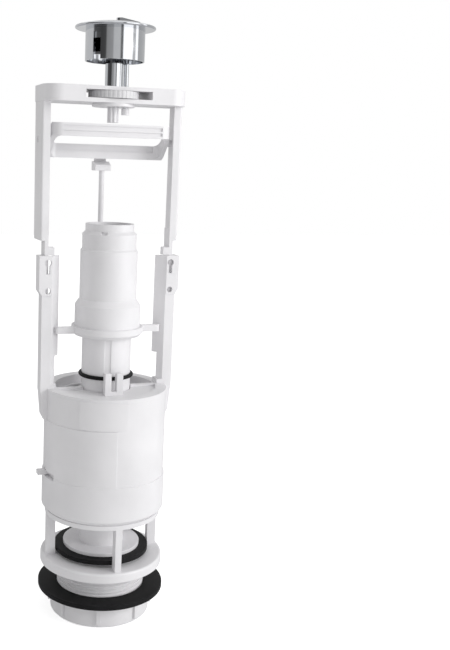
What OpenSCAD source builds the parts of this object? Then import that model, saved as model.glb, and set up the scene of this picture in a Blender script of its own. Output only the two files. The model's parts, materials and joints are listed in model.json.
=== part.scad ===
// Dual flush valve for a toilet cistern, drawn as its separate pieces.
// Millimetres, +Z up, +Y to the back, origin on the valve axis at the mouth of the outlet.

/* [Tail and seat] */
// Outside of the two inch tail thread
tail_d = 59.6; // [58:0.2:61]
// Clear bore of the outlet
outlet_d = 50; // [47:1:52]
// Length of the tail under the seat flange
tail_len = 35.5; // [34:0.5:45]
// Width of the seat flange
flange_d = 83; // [80:1:90]
// Thickness of the seat flange
flange_t = 6; // [4:0.5:8]
// Height of the raised seat lip
lip_h = 2; // [1:0.5:3]
// Width of the back nut
nut_d = 68; // [67:0.5:74]
// Height of the back nut
nut_h = 17; // [14:0.5:18]
// Grip ribs around the back nut
nut_ribs = 8; // [4:1:12]
// Width of the tail washer
washer_d = 85.5; // [78:0.5:90]
// Thickness of the tail washer
washer_t = 3; // [2:0.5:4]

/* [Canister and cage] */
// Canister wall inside the edge of the seat flange
can_inset = 1; // [0.5:0.1:2]
// Height of the canister under its lid
can_h = 82; // [80:1:92]
// Wall of the canister
can_wall = 2; // [1.5:0.1:2.4]
// Clear height of the cage under the canister
cage_h = 32; // [28:1:40]
// Width of a cage post
post_w = 4.3; // [3:0.1:6]
// Turn of the volume ring that its slot allows
volume_turn = 16; // [10:1:24]

/* [Moving valve] */
// Outside of the overflow tube
tube_d = 28; // [26:0.5:29]
// Width of the rubber seal disc
seal_d = 64; // [60:0.5:64.5]
// Thickness of the rubber seal disc
seal_t = 3; // [2:0.5:4]
// Wall of the sleeve round the overflow tube
sleeve_wall = 2.2; // [1.8:0.1:2.6]
// Wall of the tower round the sleeve
tower_skin = 2.5; // [2:0.1:3]
// Height of the tower rim above the canister lid
tower_rise = 107; // [100:1:112]

/* [Frame] */
// Height of the lower legs above the canister lid
leg_h = 86.5; // [80:0.5:90]
// Wall of the lower legs
leg_wall = 1.6; // [1.4:0.1:1.8]
// Height of the bridge above the canister lid
frame_rise = 182; // [176:1:190]
// Thickness of the bridge
bridge_h = 9.9; // [9.4:0.1:12]
// Bridge from front to back
bridge_depth = 32; // [30:0.5:36]
// Thickness of the tongues inside the lower legs
strap_t = 2.5; // [2:0.1:2.8]
// Wall of the upper legs
strap_web = 2; // [1.6:0.1:2.4]
// Upper legs from front to back
strap_depth = 18; // [16:0.5:20]
// Width of the height nut in the bridge
height_nut_d = 32; // [30:0.5:34]

/* [Lever and rod] */
// Rocker pivot below the underside of the bridge
pivot_drop = 23; // [22:0.5:25]
// Rocker axle across
axle_d = 4.4; // [3.6:0.1:5]
// Lift rod across
rod_d = 3.5; // [3:0.1:4]

/* [Button] */
// Width of the bezel
bezel_d = 50.4; // [46:0.2:56]
// Outside of the skirt that fills the lid hole
skirt_d = 37.2; // [36.8:0.1:38.4]
// Length of the skirt below the bezel
skirt_h = 19.2; // [19:0.2:24]
// Stem that shows between bridge and skirt
stem_show = 15.8; // [12:0.1:25]
// Outside of the stem tube
stem_d = 11.5; // [11:0.1:12]
// Half flush rod across
half_rod_d = 3.2; // [2.6:0.1:3.4]
// Spread of the half flush button
wedge_spread = 64; // [56:1:70]

/* [Hidden] */
$fn = 96;
// A cut reaches this far past a face
eps = 0.5;
// Play between pieces that slide or turn freely
free_gap = 0.3;
// Play of a running fit on the radius
run_gap = 0.05;

// Widths that follow from others, and heights along the axis from the outlet up
can_d = flange_d - 2 * can_inset;
sleeve_d = tube_d + 2 * sleeve_wall;
tower_d = sleeve_d + 2 * tower_skin;
flange_top = tail_len + flange_t;
lip_top = flange_top + lip_h;
can_bottom = flange_top + cage_h;
can_top = can_bottom + can_h;
lid_t = 2;
lid_top = can_top + lid_t;
leg_top = lid_top + leg_h;
bridge_bottom = lid_top + frame_rise;
bridge_top = bridge_bottom + bridge_h;
skirt_bottom = bridge_top + stem_show;
bezel_bottom = skirt_bottom + skirt_h;
tower_top = lid_top + tower_rise;

// Seat and cage
flange_round = 1.5;
lip_w = 3;
tail_lead = 1;
throat_sink = 0.5;
throat_step = 0.6;
throat_z = tail_len - throat_sink;
ring_t = 3;
ring_inset = 1.5;
ring_r = can_d / 2 - ring_inset;
post_play = 1;
post_inset = seal_d / 2 + post_play;
cage_posts = 4;
post_root = 1;

// Back nut and washer
nut_bore_r = tail_d / 2 + free_gap;
nut_rib_w = 3;
nut_rib_out = 1.6;
nut_rib_margin = 3;
nut_rib_root = 1;
nut_rib_turn = -107.5;
nut_edge = 1.2;

// Canister
can_r = can_d / 2;
can_bore_r = can_r - can_wall;
can_floor_t = 2.5;
band_out = 0.8;
band_h = 26;
band_chamfer = 3;
floor_hole_r = tube_d / 2 + 2 * free_gap;
pad_out = 0.7;
pad_h = 18;
pad_from = 230;
pad_to = 274;
panel_out = 0.5;
panel_from = 186;
panel_to = 265;
panel_gap = 0.8;

// Volume ring inside the canister
vring_up = 18;
vring_z = can_bottom + vring_up;
vring_h = 16;
vring_t = 1.6;
vring_r = can_bore_r - free_gap;
ledge_w = 2;
ledge_t = 2.5;
tab_t = 3;
tab_w = 5;
tab_reach = 4.5;
tab_angle = 180;
tab_gap = 0.5;
tab_up = 7;
tab_z = vring_z + tab_up;
tab_slack_angle = 1;
tab_half_angle = atan((tab_w / 2 + tab_gap) / can_bore_r) + tab_slack_angle;

// Float around the overflow tube
float_z = can_bottom + can_floor_t + free_gap;
float_h = 34;
float_bore_play = 1;
float_in_r = tube_d / 2 + float_bore_play;
float_play = 2.4;
float_out_r = vring_r - vring_t - float_play;
float_wall = 1.6;

// Lid and lower legs
lid_ring_w = 7;
lid_depth = 6;
lid_wall = 2;
lid_floor_z = lid_top - lid_depth;
lid_well_r = can_r - lid_ring_w;
lid_hole_r = sleeve_d / 2 + 2 * free_gap;
neck_wall = 2.4;
neck_h = 3;
window_in = 3;
window_out = 3;
window_from = 20;
window_to = 72;
leg_front = -3.8;
leg_side = 9;
leg_plate = 6.5;
leg_out = 4.7;
leg_out_r = can_r + leg_out;
leg_in_r = leg_out_r - leg_plate;
leg_fold = 6;
leg_fold_low = 3.4;
fold_break = 21;
head_h = 25.5;
head_out = 0.8;
head_side = 2;
head_slope = 3.2;
keyhole_in = 2.7;
keyhole_d = 4.4;
keyhole_slot = 2.4;
keyhole_down = 7;
keyhole_top = 4.6;
lowhole_d = 3.8;
lowhole_up = 3;
latch_tab_h = 20;
latch_tab_cut = 4;
latch_tab_lead = 1;
foot_h = 3;
foot_in = 5.5;
deck_edge = leg_front;
deck_drop = 1.5;
deck_z = lid_top - deck_drop;
deck_bar_w = 3;

// Front clip on the lid
clip_x = -1.6;
clip_w = 12;
clip_depth = 4.4;
clip_slot = 3.6;
clip_h = 14.5;
clip_foot = 2.6;
clip_stand = 3.5;

// Seal stack, tube, sleeve and tower
seat_gap = 0.05;
seal_z = lip_top + seat_gap;
hub_step = 1;
hub_r = tube_d / 2 + hub_step;
tube_wall = 2;
bore_r = tube_d / 2 - tube_wall;
holder_r = 26;
holder_t = 2.5;
socket_wall = 1;
socket_h = 14.5;
retainer_inset = 3;
retainer_r = outlet_d / 2 - retainer_inset;
retainer_t = 3;
holder_top = seal_z + seal_t + holder_t;
collar_drop = 6;
collar_taper = 2;
flare_h = 14;
flare_out = 2.8;
flare_slope = 4;
collar_out = 2;
tower_len = 66.5;
tower_bottom = tower_top - tower_len;
rim_h = 6.5;
cup_h = 17;
neck_top = tower_top - rim_h;
body_top = tower_top - cup_h;
rim_inset = 2.95;
neck_inset = 1;
rim_r = tower_d / 2 - rim_inset;
neck_r = tower_d / 2 - neck_inset;
tower_wall = 2.2;
sleeve_up = 8;
sleeve_down = 17;
sleeve_bottom = lid_top - sleeve_down;
sleeve_top = tower_bottom + sleeve_up;
tube_inset = 2;
tube_top = sleeve_top - tube_inset;
seam_w = 4;
seam_deep = 0.6;
seam_turn = -13.5;
oring_r = 1.7;
oring_up = 8;
oring_z = lid_top + oring_up;
oring_bed = 0.5;
arm_t = 4.5;
arm_depth = 3;
arm_lead = 0.5;
arm_front = leg_front - arm_lead;
arm_gap = 0.7;
arm_tip = leg_in_r - (arm_front + arm_depth - leg_front) - arm_gap;

// Upper frame
strap_out_r = leg_out_r - leg_wall - free_gap;
strap_in_r = strap_out_r - strap_t;
strap_front = leg_front + leg_wall + free_gap;
strap_gap = 9.5;
strap_end = leg_top + strap_gap;
strap_step = 3.1;
upper_out_r = strap_out_r + strap_step;
upper_web_r = upper_out_r - strap_web;
strap_round = 1.5;
tongue_depth = 10;
tongue_root = 8;
tongue_len = 78;
tongue_bottom = strap_end - tongue_len;
stop_w = 4;
stop_h = 5;
stop_depth = 5.5;
bushing_r = 11;
bridge_wall = 2;
bridge_front = -bushing_r - bridge_wall;
bridge_lip = 0.3;
bridge_half = upper_out_r + bridge_lip;
front_corner = 11;
back_corner = 3;
nut_window_w = 43;
nut_window_h = 5;
nut_window_up = 2.6;
nut_window_z = bridge_bottom + nut_window_up;
pocket_margin = 2.6;
pocket_deep = 5;

// Bushing and height nut
bushing_lip_r = 13.5;
bushing_lip_t = 2;
height_nut_t = nut_window_h - 2 * free_gap;
knurl_count = 36;
knurl_r = 0.7;

// Rocker, drawn at rest with its front bar up
pivot_y = 8;
pivot_z = bridge_bottom - pivot_drop;
bar_t = 4;
bar_arm = 8.75;
bar_step = 6.5;
front_bar_h = 8;
back_bar_h = 9;
front_bar_y = pivot_y - bar_arm;
front_bar_z = pivot_z + bar_step;
back_bar_y = pivot_y + bar_arm;
back_bar_z = pivot_z - bar_step;
front_face = front_bar_y - bar_t / 2;
back_face = back_bar_y + bar_t / 2;
front_low = front_bar_z - front_bar_h / 2;
front_high = front_bar_z + front_bar_h / 2;
back_low = back_bar_z - back_bar_h / 2;
back_high = back_bar_z + back_bar_h / 2;
cheek_t = 3;
cheek_gap = 1;
cheek_rise = 1.5;
cheek_out_r = strap_in_r - cheek_gap;
ring_corner = 7;
axle_sink = 0.5;
axle_end_r = upper_out_r - axle_sink;
groove_h = 2;
groove_deep = 0.9;
groove_step = 3.2;
recess_h = 3.6;
recess_up = 1.9;
pin_r = 1.25;
pin_up = 2.5;
pin_back = 2.65;
pin_y = back_face + pin_back;
pin_z = back_low + pin_up;
ear_r = 2.2;
ear_t = 1.5;

// Lift rod and its hook
rod_y = pin_y;
rod_len_down = 46;
rod_bottom = tower_top - rod_len_down;
rod_lug_wall = 2.4;
rod_lug_r = rod_d / 2 + rod_lug_wall;
rod_lug_margin = 1;
rod_lug_sink = 1;
rod_lug_top = neck_top - rod_lug_margin;
rod_lug_bottom = tower_bottom + flare_h + rod_lug_margin;
hook_w = 8;
hook_wall = 1.5;
hook_shift = 2.5;
hook_play = 0.35;
hook_front = pin_y - pin_r;
hook_back = pin_y + hook_shift + pin_r + hook_play;
ear_x = hook_w / 2 + 2 * free_gap;
shoulder_w = 11;
shoulder_depth = 6;
shoulder_h = 6;
shoulder_slope = 2.4;
shoulder_flat = 1.8;
shoulder_drop = 1.8;
shoulder_top = back_low - shoulder_drop;

// Push rods
push_r = 3.75;
push_gap = 1;
push_bottom = front_high + push_gap;
half_rod_x = stem_d / 2 + 2 * free_gap + half_rod_d / 2;
half_rod_notch_r = half_rod_d / 2 + 3 * free_gap;
half_foot_wall = 0.9;
half_foot_r = half_rod_d / 2 + half_foot_wall;
half_foot_h = 4;
half_foot_drop = 4.5;
half_foot_t = 1;
half_foot_bottom = bridge_bottom - bushing_lip_t - half_foot_drop;

// Bezel and buttons
skirt_wall = 0.9;
bezel_rise = 3.2;
bezel_edge_r = 0.9;
edge_share = 0.7;
skirt_bore_r = skirt_d / 2 - skirt_wall;
cup_floor_t = 1.5;
cup_floor_up = 4.3;
cup_floor_top = skirt_bottom + cup_floor_up;
skirt_slot_w = 5;
skirt_slot_top = 3;
skirt_slot_angle = 242;
button_gap = 0.4;
button_r = skirt_bore_r - button_gap;
button_sink = 0.2;
button_edge_z = bezel_bottom + bezel_rise - button_sink;
button_rise = 2;
button_wall = 1.2;
hub_floor_t = 1.5;
spring_room = 8.3;
hub_floor_z = cup_floor_top + spring_room;
wedge_r = button_r - button_wall - button_gap;
wedge_nose_r = 2.6;
wedge_nose_x = 0.6;
wedge_proud = 2.2;
wedge_deep = 1.9;
wedge_rim_up = 0.5;
wedge_top = button_edge_z + button_rise + wedge_proud;
wedge_bottom = button_edge_z - wedge_deep;
wedge_rim_z = button_edge_z + wedge_rim_up;
spring_r = 4.8;
spring_wire = 0.7;
spring_turns = 2.5;
half_spring_r = 2.4;
half_spring_wire = 0.5;
half_spring_turns = 3;
wire_sides = 8;
turn_steps = 16;

// Plain colours of the pieces
white_plastic = [0.93, 0.94, 0.94];
grey_plastic = [0.78, 0.79, 0.80];
chrome_plate = [0.75, 0.76, 0.78];
black_rubber = [0.06, 0.06, 0.07];
spring_steel = [0.62, 0.63, 0.65];

// A tube between two heights
module pipe(z0, z1, outer, inner) {
    translate([0, 0, z0])
        difference() {
            cylinder(r = outer, h = z1 - z0);
            translate([0, 0, -eps])
                cylinder(r = inner, h = z1 - z0 + 2 * eps);
        }
}

// A round bar between two heights
module post(z0, z1, radius) {
    translate([0, 0, z0])
        cylinder(r = radius, h = z1 - z0);
}

// A box between two corners
module block(low, high) {
    translate(low)
        cube(high - low);
}

// A pie slice to cut arcs with
module slice(from, to, reach) {
    middle = (from + to) / 2;
    polygon([
        [0, 0],
        reach * [cos(from), sin(from)],
        2 * reach * [cos(middle), sin(middle)],
        reach * [cos(to), sin(to)]
    ]);
}

// Part of a tube between two angles
module arc_wall(z0, z1, outer, inner, from, to) {
    translate([0, 0, z0])
        linear_extrude(z1 - z0)
            intersection() {
                difference() {
                    circle(r = outer);
                    circle(r = inner);
                }
                slice(from, to, 2 * outer);
            }
}

// The same piece on the right and on the left
module both_sides() {
    children();
    mirror([1, 0, 0])
        children();
}

// A wire wound into a coil, its ring of corner points carried up the helix step by step
module coil(z0, z1, radius, wire, turns) {
    steps = turns * turn_steps;
    climb = (z1 - z0 - wire) / steps;
    rings = [for (i = [0 : steps]) for (k = [0 : wire_sides - 1])
        let (turn = i * 360 / turn_steps, corner = k * 360 / wire_sides,
            reach = radius + wire / 2 * cos(corner))
        [reach * cos(turn), reach * sin(turn), z0 + wire / 2 + climb * i + wire / 2 * sin(corner)]];
    sides = [for (i = [0 : steps - 1]) for (k = [0 : wire_sides - 1])
        let (next = (k + 1) % wire_sides, low = i * wire_sides, high = low + wire_sides)
        [low + k, high + k, high + next, low + next]];
    first_end = [for (k = [0 : wire_sides - 1]) k];
    last_end = [for (k = [0 : wire_sides - 1]) (steps + 1) * wire_sides - 1 - k];
    polyhedron(points = rings, faces = concat(sides, [first_end, last_end]));
}

// Tail, seat flange with its lip, and the cage that carries the canister
module valve_base() {
    color(white_plastic)
        difference() {
            union() {
                cylinder(r1 = tail_d / 2 - tail_lead, r2 = tail_d / 2, h = tail_lead);
                post(tail_lead, tail_len, tail_d / 2);
                seat_flange();
                post(flange_top, lip_top, outlet_d / 2 + lip_w);
                pipe(can_bottom - ring_t, can_bottom, ring_r, post_inset);
                for (i = [0 : cage_posts - 1])
                    rotate(i * 360 / cage_posts)
                        block([post_inset, -post_w / 2, flange_top - post_root],
                            [ring_r, post_w / 2, can_bottom - post_root]);
            }
            post(-eps, lip_top + eps, outlet_d / 2);
            post(throat_z, lip_top + eps, outlet_d / 2 + throat_step);
        }
}

// Round plate with a soft upper edge
module seat_flange() {
    translate([0, 0, tail_len])
        rotate_extrude()
            union() {
                square([flange_d / 2 - flange_round, flange_t]);
                square([flange_d / 2, flange_t - flange_round]);
                translate([flange_d / 2 - flange_round, flange_t - flange_round])
                    circle(r = flange_round);
            }
}

// Flat rubber washer that lies on the back nut
module tail_washer() {
    color(black_rubber)
        pipe(nut_h, nut_h + washer_t, washer_d / 2, nut_bore_r);
}

// Back nut with grip ribs
module back_nut() {
    color(white_plastic)
        difference() {
            union() {
                cylinder(r1 = nut_d / 2 - nut_edge, r2 = nut_d / 2, h = nut_edge);
                post(nut_edge, nut_h, nut_d / 2);
                for (i = [0 : nut_ribs - 1])
                    rotate(nut_rib_turn + i * 360 / nut_ribs)
                        block([nut_bore_r + nut_rib_root, -nut_rib_w / 2, nut_rib_margin],
                            [nut_d / 2 + nut_rib_out, nut_rib_w / 2, nut_h - nut_rib_margin]);
            }
            post(-eps, nut_h + eps, nut_bore_r);
        }
}

// Canister with its wider foot band, front pad and the slot of the volume tab
module canister() {
    color(white_plastic)
        difference() {
            union() {
                translate([0, 0, can_bottom])
                    cylinder(r1 = can_r + band_out - band_chamfer, r2 = can_r + band_out,
                        h = band_chamfer);
                post(can_bottom + band_chamfer, can_bottom + band_h, can_r + band_out);
                post(can_bottom + band_h, can_top, can_r);
                arc_wall(can_top - pad_h, can_top, can_r + pad_out, can_bore_r, pad_from, pad_to);
                arc_wall(can_bottom + band_h, can_top - pad_h - panel_gap, can_r + panel_out,
                    can_bore_r, panel_from, panel_to);
            }
            difference() {
                post(can_bottom + can_floor_t, can_top + eps, can_bore_r);
                pipe(vring_z - free_gap - ledge_t, vring_z - free_gap, can_r, can_bore_r - ledge_w);
            }
            post(can_bottom - eps, can_bottom + can_floor_t + eps, floor_hole_r);
            arc_wall(tab_z - tab_gap, tab_z + tab_t + tab_gap, can_r + 2 * band_out, can_bore_r - eps,
                tab_angle - tab_half_angle, tab_angle + volume_turn + tab_half_angle);
        }
}

// Ring that sets the flush volume, with the tab that pokes through the wall
module volume_ring() {
    color(white_plastic)
        difference() {
            union() {
                post(vring_z, vring_z + vring_h, vring_r);
                rotate(tab_angle)
                    block([vring_r - vring_t, -tab_w / 2, tab_z],
                        [can_r + band_out + tab_reach, tab_w / 2, tab_z + tab_t]);
            }
            post(vring_z - eps, vring_z + vring_h + eps, vring_r - vring_t);
        }
}

// Float, a bell open below that traps air
module float_bell() {
    color(grey_plastic)
        difference() {
            pipe(float_z, float_z + float_h, float_out_r, float_in_r);
            pipe(float_z - eps, float_z + float_h - float_wall, float_out_r - float_wall,
                float_in_r + float_wall);
        }
}

// Section of a lower leg, a bent channel: side wall, front plate and folded inner flange
module leg_section(fold) {
    slant = leg_wall * sqrt(2);
    translate([leg_out_r - leg_wall, leg_front])
        square([leg_wall, leg_side]);
    translate([leg_in_r, leg_front])
        square([leg_plate, leg_wall]);
    polygon([
        [leg_in_r, leg_front],
        [leg_in_r + slant, leg_front],
        [leg_in_r + slant - fold, leg_front + fold],
        [leg_in_r - fold, leg_front + fold]
    ]);
}

// Right lower leg with its head, keyholes and the latch tab outside the canister
module lower_leg() {
    difference() {
        union() {
            translate([0, 0, lid_top])
                linear_extrude(leg_h)
                    leg_section(leg_fold_low);
            translate([0, 0, lid_top + fold_break])
                linear_extrude(leg_h - fold_break)
                    leg_section(leg_fold);
            leg_head();
            block([can_r - foot_in, leg_front, lid_top - lid_t],
                [leg_out_r, leg_front + leg_side, lid_top + foot_h]);
            latch_tab();
        }
        keyhole(leg_in_r + keyhole_in);
        post(can_top - latch_tab_h - eps, can_top, can_r);
    }
}

// Thicker head of a lower leg, with a slanted lower end
module leg_head() {
    translate([0, leg_front + leg_side, 0])
        rotate([90, 0, 0])
            linear_extrude(leg_side + head_out)
                polygon([
                    [leg_out_r - eps, leg_top - head_h],
                    [leg_out_r, leg_top - head_h],
                    [leg_out_r + head_side, leg_top - head_h + head_slope],
                    [leg_out_r + head_side, leg_top],
                    [leg_out_r - eps, leg_top]
                ]);
    block([leg_in_r, leg_front - head_out, leg_top - head_h],
        [leg_out_r, leg_front + eps, leg_top]);
}

// Keyhole and lower round hole through a front plate
module keyhole(hole_x) {
    top_z = leg_top - keyhole_top;
    plate_back = leg_front + leg_wall + eps;
    plate_front = leg_front - head_out - eps;
    translate([hole_x, plate_back, 0])
        rotate([90, 0, 0])
            linear_extrude(plate_back - plate_front)
                union() {
                    translate([0, top_z])
                        circle(d = keyhole_d);
                    translate([-keyhole_slot / 2, top_z - keyhole_down])
                        square([keyhole_slot, keyhole_down]);
                    translate([0, leg_top - head_h + lowhole_up])
                        circle(d = lowhole_d);
                }
}

// Tab that snaps over the outside of the canister
module latch_tab() {
    translate([0, leg_front + leg_side, 0])
        rotate([90, 0, 0])
            linear_extrude(leg_side)
                polygon([
                    [can_r - foot_in, lid_top],
                    [can_r - foot_in, can_top - latch_tab_h],
                    [can_r + latch_tab_lead, can_top - latch_tab_h],
                    [leg_out_r - leg_wall, can_top - latch_tab_h + latch_tab_cut],
                    [leg_out_r, lid_top]
                ]);
}

// Plate across the well of the lid, cut off along the straight bar
module well_plate(z0, z1, low_y, high_y) {
    intersection() {
        post(z0, z1, lid_well_r + eps);
        block([-can_r, low_y, z0 - eps], [can_r, high_y, z1 + eps]);
    }
}

// Lid with a deck in front, a straight bar and a sunk back half with water windows
module lid() {
    well_bottom = lid_floor_z - lid_wall;
    difference() {
        union() {
            pipe(can_top, lid_top, can_r, lid_well_r);
            pipe(well_bottom, lid_top, lid_well_r + lid_wall, lid_well_r);
            well_plate(deck_z - lid_wall, deck_z, -can_r, deck_edge + eps);
            well_plate(well_bottom, lid_top, deck_edge, deck_edge + deck_bar_w);
            well_plate(well_bottom, lid_floor_z, deck_edge, can_r);
            post(well_bottom, lid_floor_z + neck_h, lid_hole_r + neck_wall);
        }
        post(well_bottom - eps, lid_top + eps, lid_hole_r);
        both_sides()
            arc_wall(well_bottom - eps, lid_floor_z + eps, lid_well_r - window_out,
                lid_hole_r + neck_wall + window_in, window_from, window_to);
    }
}

// Lid and the two lower legs, one moulding
module lower_frame() {
    color(white_plastic) {
        lid();
        both_sides()
            lower_leg();
    }
}

// Front clip on the deck of the lid, two ribs with a slot between them
module lid_clip() {
    clip_back = -(sleeve_d / 2 + clip_stand);
    clip_front = clip_back - clip_depth;
    color(white_plastic)
        translate([clip_x, 0, deck_z])
            difference() {
                block([-clip_w / 2, clip_front, 0], [clip_w / 2, clip_back, clip_h]);
                block([-clip_slot / 2, clip_front - eps, clip_foot],
                    [clip_slot / 2, clip_back + eps, clip_h + eps]);
            }
}

// Ring under the seal that holds it on the hub
module seal_retainer() {
    color(white_plastic)
        pipe(seal_z - retainer_t, seal_z, retainer_r, hub_r);
}

// Flat rubber seal
module seal_disc() {
    color(black_rubber)
        pipe(seal_z, seal_z + seal_t, seal_d / 2, hub_r);
}

// Plate above the seal, with the hub through it and the socket of the tube
module seal_holder() {
    color(white_plastic)
        difference() {
            union() {
                post(seal_z - retainer_t, holder_top, hub_r);
                post(seal_z + seal_t, holder_top, holder_r);
                post(holder_top, holder_top + socket_h, tube_d / 2 + socket_wall);
            }
            post(seal_z - retainer_t - eps, holder_top + eps, bore_r);
            post(holder_top, holder_top + socket_h + eps, tube_d / 2);
        }
}

// Overflow tube from the seal holder up into the tower
module overflow_tube() {
    color(white_plastic)
        pipe(holder_top, tube_top, tube_d / 2, bore_r);
}

// Sleeve that slides in the lid, with a shallow seam down its front
module tower_sleeve() {
    color(white_plastic)
        difference() {
            pipe(sleeve_bottom, sleeve_top, sleeve_d / 2, tube_d / 2);
            oring_shape();
            rotate(seam_turn)
                block([-seam_w / 2, -sleeve_d / 2 - eps, oring_z + 2 * oring_r],
                    [seam_w / 2, -sleeve_d / 2 + seam_deep, tower_bottom - collar_drop - oring_r]);
        }
}

// Rubber ring in its groove
module oring_shape() {
    translate([0, 0, oring_z])
        rotate_extrude()
            translate([sleeve_d / 2 + oring_r - oring_bed, 0])
                circle(r = oring_r);
}

// Rubber ring round the sleeve
module sleeve_ring() {
    color(black_rubber)
        oring_shape();
}

// Collar under the tower with the two arms that run along the legs
module guide_collar() {
    collar_z = tower_bottom - collar_drop;
    collar_r = tower_d / 2 + flare_out + collar_out;
    arm_z = tower_bottom - arm_t;
    color(white_plastic)
        difference() {
            union() {
                translate([0, 0, collar_z])
                    cylinder(r1 = collar_r - collar_taper, r2 = collar_r, h = collar_taper);
                post(collar_z + collar_taper, tower_bottom, collar_r);
                both_sides() {
                    block([0, arm_front, arm_z],
                        [arm_tip - arm_depth / 2, arm_front + arm_depth, arm_z + arm_t]);
                    translate([arm_tip - arm_depth / 2, arm_front + arm_depth / 2, 0])
                        post(arm_z, arm_z + arm_t, arm_depth / 2);
                }
            }
            post(collar_z - eps, tower_bottom + eps, sleeve_d / 2);
        }
}

// Overflow tower: open cup, stepped body, flared foot and the rod lug at the back
module tower() {
    flare_r = tower_d / 2 + flare_out;
    cup_r = rim_r - tower_wall;
    color(white_plastic)
        difference() {
            union() {
                post(tower_bottom, tower_bottom + flare_h, flare_r);
                translate([0, 0, tower_bottom + flare_h])
                    cylinder(r1 = flare_r, r2 = tower_d / 2, h = flare_slope);
                post(tower_bottom + flare_h, body_top, tower_d / 2);
                translate([0, 0, body_top])
                    cylinder(r1 = tower_d / 2, r2 = neck_r, h = tower_d / 2 - neck_r);
                post(body_top, neck_top, neck_r);
                translate([0, 0, neck_top])
                    cylinder(r1 = neck_r, r2 = rim_r, h = neck_r - rim_r);
                post(neck_top, tower_top, rim_r);
                translate([0, rod_y, 0])
                    post(rod_lug_bottom, rod_lug_top, rod_lug_r);
                block([-rod_lug_r, neck_r - rod_lug_sink, rod_lug_bottom],
                    [rod_lug_r, rod_y, rod_lug_top]);
            }
            post(sleeve_top, tower_top + eps, cup_r);
            post(tower_bottom - eps, sleeve_top, sleeve_d / 2);
            translate([0, rod_y, 0])
                post(rod_lug_bottom - eps, tower_top + eps, rod_d / 2 + run_gap);
        }
}

// Rod that lifts the tower
module lift_rod() {
    color(white_plastic)
        translate([0, rod_y, 0])
            post(rod_bottom, shoulder_top - shoulder_h, rod_d / 2);
}

// Hook on the rod: a shoulder, a back wall and a roof over the pin of the rocker
module rod_hook() {
    roof_z = pin_z + pin_r + hook_play;
    color(white_plastic) {
        translate([-shoulder_w / 2, 0, 0])
            rotate([90, 0, 90])
                linear_extrude(shoulder_w)
                    polygon([
                        [rod_y - shoulder_depth / 2, shoulder_top - shoulder_h],
                        [rod_y - shoulder_depth / 2, shoulder_top - shoulder_slope],
                        [rod_y + shoulder_flat, shoulder_top],
                        [hook_back + hook_wall, shoulder_top],
                        [hook_back + hook_wall, shoulder_top - shoulder_h]
                    ]);
        block([-hook_w / 2, hook_back, shoulder_top - eps],
            [hook_w / 2, hook_back + hook_wall, roof_z + hook_wall]);
        block([-hook_w / 2, hook_front, roof_z], [hook_w / 2, hook_back + eps, roof_z + hook_wall]);
    }
}

// Rectangle with round corners, from squares and circles
module round_plan(half_x, y0, y1, corner) {
    translate([-half_x + corner, y0])
        square([2 * (half_x - corner), y1 - y0]);
    translate([-half_x, y0 + corner])
        square([2 * half_x, y1 - y0 - 2 * corner]);
    for (side = [-1, 1])
        for (y = [y0 + corner, y1 - corner])
            translate([side * (half_x - corner), y])
                circle(r = corner);
}

// Ring of the rocker: its outline from above, cut to its slope from the side
module rocker_ring() {
    intersection() {
        translate([0, 0, back_low - eps])
            linear_extrude(front_high + cheek_rise - back_low + 2 * eps)
                difference() {
                    round_plan(cheek_out_r, front_face, back_face, ring_corner);
                    round_plan(cheek_out_r - cheek_t, front_face + bar_t, back_face - bar_t,
                        ring_corner - cheek_t);
                }
        translate([-cheek_out_r - eps, 0, 0])
            rotate([90, 0, 90])
                linear_extrude(2 * (cheek_out_r + eps))
                    polygon([
                        [front_face - eps, front_low],
                        [front_face - eps, front_high + cheek_rise],
                        [front_face + bar_t, front_high + cheek_rise],
                        [back_face, back_high],
                        [back_face + eps, back_high],
                        [back_face + eps, back_low],
                        [back_face - bar_t, back_low],
                        [front_face + bar_t, front_low]
                    ]);
    }
}

// Long groove along both faces of a bar
module bar_groove(y, z, height) {
    for (side = [-1, 1])
        translate([0, y + side * bar_t / 2, z])
            cube([2 * (cheek_out_r - ring_corner), 2 * groove_deep, height], center = true);
}

// Rocker: ring with grooved bars, two axles, and the hook pin between two ears
module rocker() {
    bar_span = cheek_out_r - ring_corner;
    color(white_plastic) {
        difference() {
            rocker_ring();
            block([-bar_span, front_face - eps, front_high],
                [bar_span, front_face + bar_t + eps, front_high + cheek_rise + eps]);
            for (level = [-1, 1])
                bar_groove(front_bar_y, front_bar_z + level * groove_step / 2, groove_h);
            bar_groove(back_bar_y, back_bar_z + recess_up, recess_h);
        }
        translate([-ear_x - eps, pin_y, pin_z])
            rotate([0, 90, 0])
                cylinder(r = pin_r, h = 2 * (ear_x + eps));
        both_sides() {
            translate([ear_x, 0, 0])
                rotate([90, 0, 90])
                    linear_extrude(ear_t)
                        union() {
                            translate([pin_y, pin_z])
                                circle(r = ear_r);
                            translate([back_face - eps, pin_z - ear_r])
                                square([pin_back + eps, 2 * ear_r]);
                        }
            translate([cheek_out_r - eps, pivot_y, pivot_z])
                rotate([0, 90, 0])
                    cylinder(d = axle_d, h = axle_end_r - cheek_out_r + eps);
        }
    }
}

// Outline of the bridge from above, with wide front corners
module bridge_plan() {
    back = bridge_front + bridge_depth;
    translate([-bridge_half + front_corner, bridge_front])
        square([2 * (bridge_half - front_corner), bridge_depth]);
    translate([-bridge_half, bridge_front + front_corner])
        square([2 * bridge_half, bridge_depth - front_corner - back_corner]);
    for (side = [-1, 1]) {
        translate([side * (bridge_half - front_corner), bridge_front + front_corner])
            circle(r = front_corner);
        translate([side * (bridge_half - back_corner), back - back_corner])
            circle(r = back_corner);
        translate([side * (bridge_half - front_corner / 2 - back_corner / 2), back - back_corner])
            square([front_corner - back_corner, 2 * back_corner], center = true);
    }
}

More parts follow.
